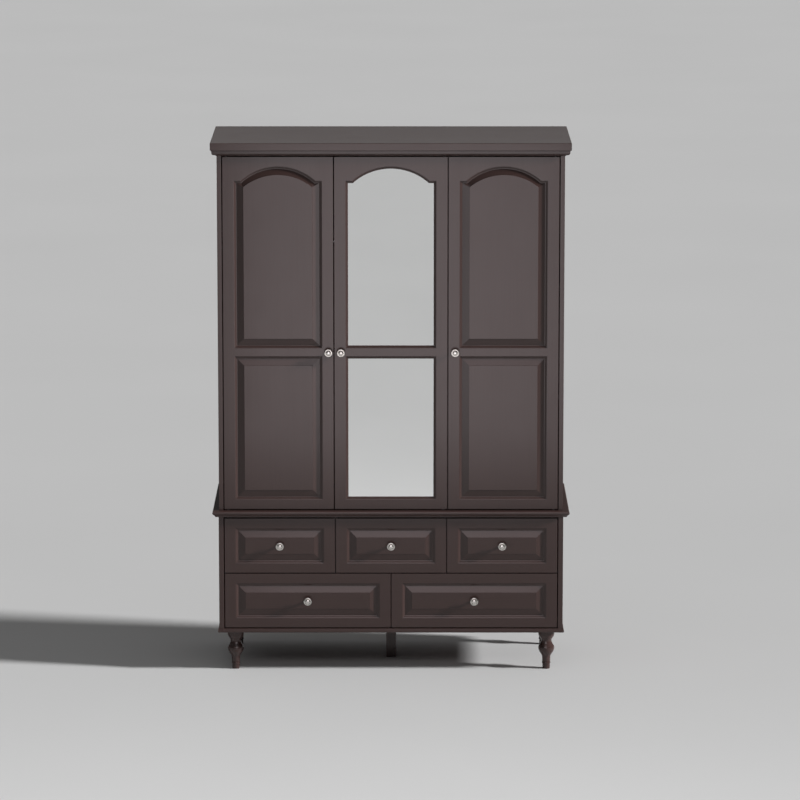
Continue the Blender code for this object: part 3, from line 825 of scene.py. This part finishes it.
def build_panel(label, level, opening, field):
    """A raised panel: tongue, quirk, sloping bevel, a small step and the field."""
    centre, half_width, _, _ = door_size(label)
    half = half_width - STILE - STICKING
    front = LIP_DEPTH + FIT
    outlines = [
        (opening(half, TONGUE), GROOVE_END - FIT),
        (opening(half, TONGUE), front),
        (opening(half, -0.0006), front),
        (opening(half, -0.0013), front - 0.0002),
    ]
    outlines += [(field(half, -inset), depth) for inset, depth in field_edge(PANEL_STEP)]
    bm = bmesh.new()
    loft(bm, [upright(outline, centre, depth) for outline, depth in outlines], mitred=True)
    node = f"door_{label}_panel_{level}"
    add_piece(node + "_raised", bm, PAINT_Z, f"door_{label}", (node,))


def build_doors():
    for label in DOORS:
        build_frame(label)
        if label != "centre":
            build_panel(label, "upper", grown_arch, field_arch)
            build_panel(label, "lower", lower_opening, lower_field)


# --- Drawers --------------------------------------------------------------------------------


def build_drawer_front(label):
    low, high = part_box(f"drawer_{label}_front")
    side, bottom, top = DRAWER_MARGINS

    def outline(inset, depth):
        shape = rectangle(low.x + inset, high.x - inset, low.z + inset, high.z - inset)
        return upright(shape, 0.0, depth)

    def sunk(inset, depth):
        shape = rectangle(
            low.x + side + inset,
            high.x - side - inset,
            low.z + bottom + inset,
            high.z - top - inset,
        )
        return upright(shape, 0.0, depth)

    rings = [outline(inset, THICKNESS - drop) for inset, drop in reversed(quarter(EDGE_ROUND))]
    rings += [outline(inset, drop) for inset, drop in quarter(EDGE_ROUND)]
    profile = sticking(DRAWER_STICKING, DRAWER_QUIRK)
    rings += [sunk(DRAWER_STICKING - growth, depth) for growth, depth in profile[:-1]]
    quirk = ((0.0001, 0.0), (0.0007, 0.0), (0.0013, -0.0001))
    rings += [sunk(DRAWER_STICKING + inset, DRAWER_QUIRK + sink) for inset, sink in quirk]
    field = DRAWER_STICKING + DRAWER_BEVEL
    rings += [sunk(field + inset, depth) for inset, depth in field_edge(DRAWER_STEP)]
    bm = bmesh.new()
    loft(bm, rings, mitred=True)
    node = f"drawer_{label}_front"
    add_piece(node + "_routed", bm, PAINT_X, f"drawer_{label}", (node,))


def build_drawer_box(label):
    """Four birch-ply sides with finger joints at the corners, and a bottom let in between them."""
    node = f"drawer_{label}_box"
    low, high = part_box(node)
    body = f"drawer_{label}"
    line = FIT / 4
    count = round((high.z - low.z) / FINGER)
    step = (high.z - low.z) / count
    fingers = bmesh.new()
    for i in range(count):
        z0 = low.z + i * step + line
        z1 = low.z + (i + 1) * step - line
        for x0, x1 in ((low.x, low.x + WALL), (high.x - WALL, high.x)):
            for y0, y1 in ((low.y, low.y + WALL), (high.y - WALL, high.y)):
                add_box(fingers, (x0, y0, z0), (x1, y1, z1))
    corners = add_piece(f"drawer_{label}_corner_joints", fingers, PLY_EDGE, body)
    soften(corners, 0.00025, 1)

    inner_low = low + Vector((WALL + line, WALL + line, 0.001))
    inner_high = high - Vector((WALL + line, WALL + line, 0.0))
    runs = bmesh.new()
    for x0, x1 in ((low.x, low.x + WALL), (high.x - WALL, high.x)):
        add_box(runs, (x0, inner_low.y, low.z), (x1, inner_high.y, high.z))
    long_sides = add_piece(f"drawer_{label}_sides", runs, BIRCH_Y, body, (node,))
    soften(long_sides, 0.0012)

    ends = bmesh.new()
    for y0, y1 in ((low.y, low.y + WALL), (high.y - WALL, high.y)):
        add_box(ends, (inner_low.x, y0, low.z), (inner_high.x, y1, high.z))
    add_box(ends, inner_low, (inner_high.x, inner_high.y, low.z + BOX_BOTTOM))
    across = add_piece(f"drawer_{label}_ends_and_bottom", ends, BIRCH_X, body, (node,))
    soften(across, 0.0010)


def build_drawers():
    for label in DRAWERS:
        build_drawer_front(label)
        build_drawer_box(label)


# --- Knobs and small hardware ---------------------------------------------------------------


def knob_profile(reach):
    """From the door outward: foot, neck, swelling back, rim ring, groove and domed boss."""
    foot = [(0.0, FIT), (0.0092, FIT), (0.0097, 0.0008), (0.0095, 0.0018), (0.0078, 0.0030)]
    back = flowing(
        [
            (0.0060, 0.0045), (0.0054, 0.0075), (0.0058, 0.0110), (0.0095, 0.0138),
            (0.0145, 0.0162), (0.0168, 0.0185),
        ]
    )
    rim_radius, rim_height = 0.0129, 0.0187
    rim = []
    for angle in arc(-25, 96, 14):
        rim.append((rim_radius + 0.00435 * math.cos(angle), rim_height + 0.0046 * math.sin(angle)))
    groove = [(0.0121, 0.0228), (0.0117, 0.0219), (0.0113, 0.0217), (0.0109, 0.0222)]
    boss_radius, boss_base = 0.0107, 0.0225
    dome = reach - boss_base
    boss = [(boss_radius * math.cos(a), boss_base + dome * math.sin(a)) for a in arc(0, 90, 14)]
    return foot + back + rim + groove + boss


def build_knobs():
    """A turned knob on each door and drawer, and the screw that holds it from inside."""
    screw_radius = 0.0042
    places = [(f"door_{label}_knob", f"door_{label}") for label in DOORS]
    places += [(f"drawer_{label}_knob", f"drawer_{label}") for label in DRAWERS]
    for node, body in places:
        low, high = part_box(node)
        x = (low.x + high.x) / 2
        z = (low.z + high.z) / 2
        base = high.y + FIT
        bm = bmesh.new()
        turn(bm, knob_profile(base - low.y), (0, -1, 0), (x, base, z))
        add_piece(node + "_turned", bm, NICKEL, body, (node,))
        inside = DOOR_BACK
        if body.startswith("drawer"):
            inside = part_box(node.replace("knob", "box"))[0].y + WALL
        screw_heads(f"{node}_screw", [((x, inside, z), (0, 1, 0))], screw_radius, body)


def screw_heads(name, places, radius, body):
    """Pan-head screws with a raised cross, each at a point on a face, looking out along its normal."""
    edge = 0.10
    dome_rise = 0.42
    socket_floor = 0.18
    cross_height = 0.525
    cross_reach, cross_width, cross_thickness = 0.48, 0.05, 0.012
    bm = bmesh.new()
    for point, normal in places:
        axis = Vector(normal)
        side = axis.orthogonal().normalized()
        unit = [(0.97, 0.0), (1.0, edge)]
        unit += [(math.cos(a), edge + dome_rise * math.sin(a)) for a in arc(0, 78, 6)]
        unit += [(0.19, unit[-1][1]), (0.17, socket_floor), (0.0, socket_floor)]
        profile = [(radius * out, radius * rise) for out, rise in unit]
        turn(bm, profile, axis, Vector(point) + axis * 0.00005, 20)
        for arm in (side, axis.cross(side)):
            middle = Vector(point) + axis * radius * cross_height
            reach = arm * cross_reach + axis.cross(arm) * cross_width + axis * cross_thickness
            corner = Vector([abs(part) * radius for part in reach])
            add_box(bm, middle - corner, middle + corner)
    return add_piece(name, bm, STEEL, body)


def build_rail_fixings():
    """Three screws in each of the rail's sockets; rail and sockets are chromed."""
    flange = 0.003
    screw_circle = 0.0198
    rail_low, rail_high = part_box("hanging_rail")
    z = (rail_low.z + rail_high.z) / 2
    y = (rail_low.y + rail_high.y) / 2
    for label, way in (("left", 1), ("right", -1)):
        low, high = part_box(f"rail_socket_{label}")
        x = (low.x if way > 0 else high.x) + way * flange
        places = []
        for angle in arc(90, 330, 2):
            point = (x, y + screw_circle * math.cos(angle), z + screw_circle * math.sin(angle))
            places.append((point, (way, 0, 0)))
        screw_heads(f"rail_socket_{label}_screws", places, 0.0026, CARCASS)
    for name in ("hanging_rail", "rail_socket_left", "rail_socket_right"):
        settle(dress(name, CHROME))


def build_pivots():
    """The doors' pins: eased at both ends, with a collar in the middle."""
    half_collar = 0.0015
    tip = 0.0025
    ease = 0.0006
    collar_ease = 0.0004
    for label in DOORS:
        for end in ("top", "bottom"):
            node = f"door_{label}_pivot_{end}"
            low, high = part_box(node)
            centre = (low + high) / 2
            reach = (high.z - low.z) / 2
            collar = (high.x - low.x) / 2
            upper = [(collar, half_collar - collar_ease), (collar - collar_ease, half_collar)]
            upper += [(PIN_RADIUS, half_collar), (PIN_RADIUS, reach - ease), (tip, reach), (0.0, reach)]
            profile = [(radius, -height) for radius, height in reversed(upper)] + upper
            bm = bmesh.new()
            turn(bm, profile, (0, 0, 1), centre, 32)
            add_piece(node + "_pin", bm, BLACK_STEEL, f"door_{label}", (node,))


def build_catches():
    """A magnetic catch at the top of each opening and a strike plate on each door's free edge."""
    from_edge = 0.038
    half_case, half_ears, half_plate = 0.024, 0.0295, 0.020
    half_pole, pole_offset, rivet_offset = 0.0065, 0.0095, 0.0180
    plate_face = DOOR_BACK + 0.0011
    rivet = [(0.0015, 0.0), (0.0015, 0.0002), (0.0011, 0.0005), (0.0, 0.0006)]
    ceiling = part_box("top_panel")[0].z
    for label in DOORS:
        centre, half_width, _, top = door_size(label)
        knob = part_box(f"door_{label}_knob")
        free_way = -1 if (knob[0].x + knob[1].x) / 2 < centre else 1
        x = centre + free_way * (half_width - from_edge)

        bm = bmesh.new()
        blocks = ((half_case, 0.0022, 0.0180, 0.0135), (half_ears, 0.0070, 0.0150, 0.0022))
        for half, front, back, drop in blocks:
            low = (x - half, DOOR_BACK + front, ceiling - drop)
            add_box(bm, low, (x + half, DOOR_BACK + back, ceiling))
        case = add_piece(f"catch_{label}_case", bm, BLACK_PLASTIC, CARCASS)
        soften(case, 0.0015, 3)

        bm = bmesh.new()
        for middle in (x - pole_offset, x + pole_offset):
            pole_low = (middle - half_pole, DOOR_BACK + 0.0013, ceiling - 0.0095)
            pole_high = (middle + half_pole, DOOR_BACK + 0.0040, ceiling - 0.0065)
            add_box(bm, pole_low, pole_high)
        poles = add_piece(f"catch_{label}_poles", bm, STEEL, CARCASS)
        soften(poles, 0.0003)

        bm = bmesh.new()
        plate_bottom, plate_top = top - 0.0165, top - 0.0010
        add_box(bm, (x - half_plate, DOOR_BACK, plate_bottom), (x + half_plate, plate_face, plate_top))
        for middle in (x - rivet_offset, x + rivet_offset):
            turn(bm, rivet, (0, 1, 0), (middle, plate_face, (plate_bottom + plate_top) / 2), 20)
        plate = add_piece(f"catch_{label}_strike", bm, STEEL, f"door_{label}")
        soften(plate, 0.0004)


def build_shelf_pins():
    """Four pins under each side shelf."""
    from_edge = 0.040
    radius = 0.0026
    flange_profile = [(0.0, 0.0), (0.0045, 0.0), (0.0045, 0.0012)]
    pin_profile = [(radius, 0.0014), (radius, 0.0085), (0.0022, 0.0090), (0.0, 0.0090)]
    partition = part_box("upper_partition")[1].x
    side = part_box("upper_side_right")[0].x
    bm = bmesh.new()
    for name in ("side_shelf_lower", "side_shelf_upper"):
        low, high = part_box(name)
        for y in (low.y + from_edge, high.y - from_edge):
            for x, way in ((partition, 1), (side, -1)):
                middle = (x, y, low.z - radius - 0.0002)
                turn(bm, flange_profile + pin_profile, (way, 0, 0), middle, 20)
    add_piece("shelf_pins", bm, STEEL, CARCASS)


def build_back_nails():
    """Flat nail heads round the edge of each back panel."""
    pitch = 0.150
    inset = 0.012
    bm = bmesh.new()
    for name in ("upper_back_panel", "chest_back_panel"):
        low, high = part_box(name)
        across = max(2, round((high.x - low.x) / pitch))
        upward = max(2, round((high.z - low.z) / pitch))
        width = high.x - low.x - 2 * inset
        height = high.z - low.z - 2 * inset
        spots = []
        for i in range(across + 1):
            x = low.x + inset + width * i / across
            spots += [(x, low.z + inset), (x, high.z - inset)]
        for i in range(1, upward):
            z = low.z + inset + height * i / upward
            spots += [(low.x + inset, z), (high.x - inset, z)]
        profile = [(0.0026, 0.0), (0.0027, 0.0003), (0.0024, 0.0006), (0.0010, 0.0007), (0.0, 0.0007)]
        for x, z in spots:
            turn(bm, profile, (0, 1, 0), (x, high.y, z), 14)
    add_piece("back_panel_nails", bm, STEEL, CARCASS)


def build_mirror_clips():
    """Turn-buttons that hold the mirror's backing board in the middle door."""
    low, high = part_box("mirror_backing")
    rows = 4
    from_end = 0.10
    half_width = 0.0055
    from_edge, behind_screw, overlap = 0.011, 0.006, 0.008
    face = DOOR_BACK + 0.0016
    clips = bmesh.new()
    screws = []
    for i in range(rows):
        z = low.z + from_end + (high.z - low.z - 2 * from_end) * i / (rows - 1)
        for edge, way in ((low.x, -1), (high.x, 1)):
            pivot_x = edge + way * from_edge
            x0, x1 = sorted((pivot_x + way * behind_screw, edge - way * overlap))
            add_box(clips, (x0, DOOR_BACK, z - half_width), (x1, face, z + half_width))
            screws.append(((pivot_x, face, z), (0, 1, 0)))
    piece = add_piece("mirror_turn_buttons", clips, STEEL, "door_centre")
    soften(piece, 0.0004)
    screw_heads("mirror_button_screws", screws, 0.0030, "door_centre")


# --- Studio ---------------------------------------------------------------------------------


def aim(obj, target):
    obj.rotation_euler = (Vector(target) - obj.location).to_track_quat("-Z", "Y").to_euler()


def add_light(name, kind, energy, **settings):
    """A lamp that the camera doesn't see."""
    data = bpy.data.lights.new(name, kind)
    data.energy = energy
    for key, value in settings.items():
        setattr(data, key, value)
    obj = bpy.data.objects.new(name, data)
    bpy.context.scene.collection.objects.link(obj)
    obj.visible_camera = False
    return obj


def softbox_power(width, height, radiance):
    """The power that gives a flat rectangular lamp this radiance."""
    return radiance * math.pi * width * height


def build_floor():
    near, far, side = -40.0, 90.0, 60.0
    bm = bmesh.new()
    bm.faces.new(add_ring(bm, [(-side, near, 0), (side, near, 0), (side, far, 0), (-side, far, 0)]))
    mesh = bpy.data.meshes.new("studio_floor")
    bm.to_mesh(mesh)
    bm.free()
    mesh.materials.append(make_floor())
    floor = bpy.data.objects.new("studio_floor", mesh)
    bpy.context.scene.collection.objects.link(floor)
    return floor


def build_room_light():
    """The room's light grows from the horizon up to the ceiling."""
    world = bpy.data.worlds.new("studio")
    world.use_nodes = True
    tree = world.node_tree
    background = tree.nodes["Background"]
    background.inputs["Color"].default_value = (1.0, 1.0, 1.0, 1.0)
    direction = tree.nodes.new("ShaderNodeTexCoord").outputs["Generated"]
    upward = tree.nodes.new("ShaderNodeSeparateXYZ")
    tree.links.new(direction, upward.inputs["Vector"])
    rise = tree.nodes.new("ShaderNodeMapRange")
    rise.interpolation_type = "SMOOTHSTEP"
    for socket, value in (("From Min", 0.0), ("From Max", 0.7), ("To Min", 0.015), ("To Max", 0.188)):
        rise.inputs[socket].default_value = value
    tree.links.new(upward.outputs["Z"], rise.inputs["Value"])
    tree.links.new(rise.outputs["Result"], background.inputs["Strength"])
    bpy.context.scene.world = world


def build_foreground_lamp(floor):
    """A wide lamp over the floor in front, which lifts the foreground only."""
    lamp = add_light("foreground", "AREA", 16.0, shape="RECTANGLE", size=5.5, size_y=1.2)
    lamp.location = (0.0, -2.9, 2.0)
    lamp.visible_glossy = False
    lit = bpy.data.collections.new("lit_by_foreground")
    lit.objects.link(floor)
    lamp.light_linking.receiver_collection = lit


def build_rear_softbox():
    """A lamp behind and above, which gives the crown's top its sheen."""
    width, height = 4.0, 1.2
    power = softbox_power(width, height, 0.21)
    lamp = add_light("rear_softbox", "AREA", power, shape="RECTANGLE", size=width, size_y=height)
    lamp.location = (0.0, 1.7, 2.9)
    aim(lamp, (0.0, 0.0, 2.3))
    lamp.visible_diffuse = False


def build_key():
    """The key comes low from the right and a little forward, like a large lamp far away."""
    azimuth = math.radians(11.2)
    elevation = math.radians(23.5)
    distance = 6
    key = add_light("key", "SUN", 5.15, angle=math.radians(6.5))
    key.location = (
        distance * math.cos(elevation) * math.cos(azimuth),
        -distance * math.cos(elevation) * math.sin(azimuth),
        distance * math.sin(elevation),
    )
    aim(key, (0, 0, 0))
    key.visible_glossy = False


def build_front_softbox():
    """A tall softbox in front, which gives the paint its sheen and leaves the mirror alone."""
    left, right = -0.76, 0.93
    bottom, top = 0.45, 2.25
    distance = 2.2
    width, height = right - left, top - bottom
    power = softbox_power(width, height, 2.05)
    softbox = add_light("softbox", "AREA", power, shape="RECTANGLE", size=width, size_y=height)
    x, z = (left + right) / 2, (bottom + top) / 2
    softbox.location = (x, FRONT - distance, z)
    aim(softbox, (x, FRONT, z))
    softbox.data.color = (1.0, 0.93, 0.965)
    softbox.visible_diffuse = False
    kept_out = bpy.data.collections.new("not_lit_by_softbox")
    kept_out.objects.link(NODES["mirror_pane"])
    softbox.light_linking.receiver_collection = kept_out
    kept_out.collection_objects[0].light_linking.link_state = "EXCLUDE"


def build_studio():
    bpy.context.scene.view_settings.view_transform = "Standard"
    floor = build_floor()
    build_room_light()
    build_foreground_lamp(floor)
    build_rear_softbox()
    build_key()
    build_front_softbox()


def build_camera():
    """Far in front and above, a long lens, looking down by ten degrees."""
    look_down = 10.174
    distance = 17.8246
    data = bpy.data.cameras.new("camera")
    data.sensor_width = 36.0
    data.lens = 200.6
    data.clip_start = 0.5
    data.clip_end = 200.0
    camera = bpy.data.objects.new("camera", data)
    camera.location = (0.0369, FRONT - distance, 4.3323)
    camera.rotation_euler = (math.radians(90 - look_down), 0.0, 0.0)
    bpy.context.scene.collection.objects.link(camera)
    bpy.context.scene.camera = camera


build_crown()
build_waist()
build_base()
build_chest_sides()
finish_boards()
build_feet()
build_doors()
build_drawers()
build_knobs()
build_rail_fixings()
build_pivots()
build_catches()
build_shelf_pins()
build_back_nails()
build_mirror_clips()
build_studio()
build_camera()

bpy.context.view_layer.update()
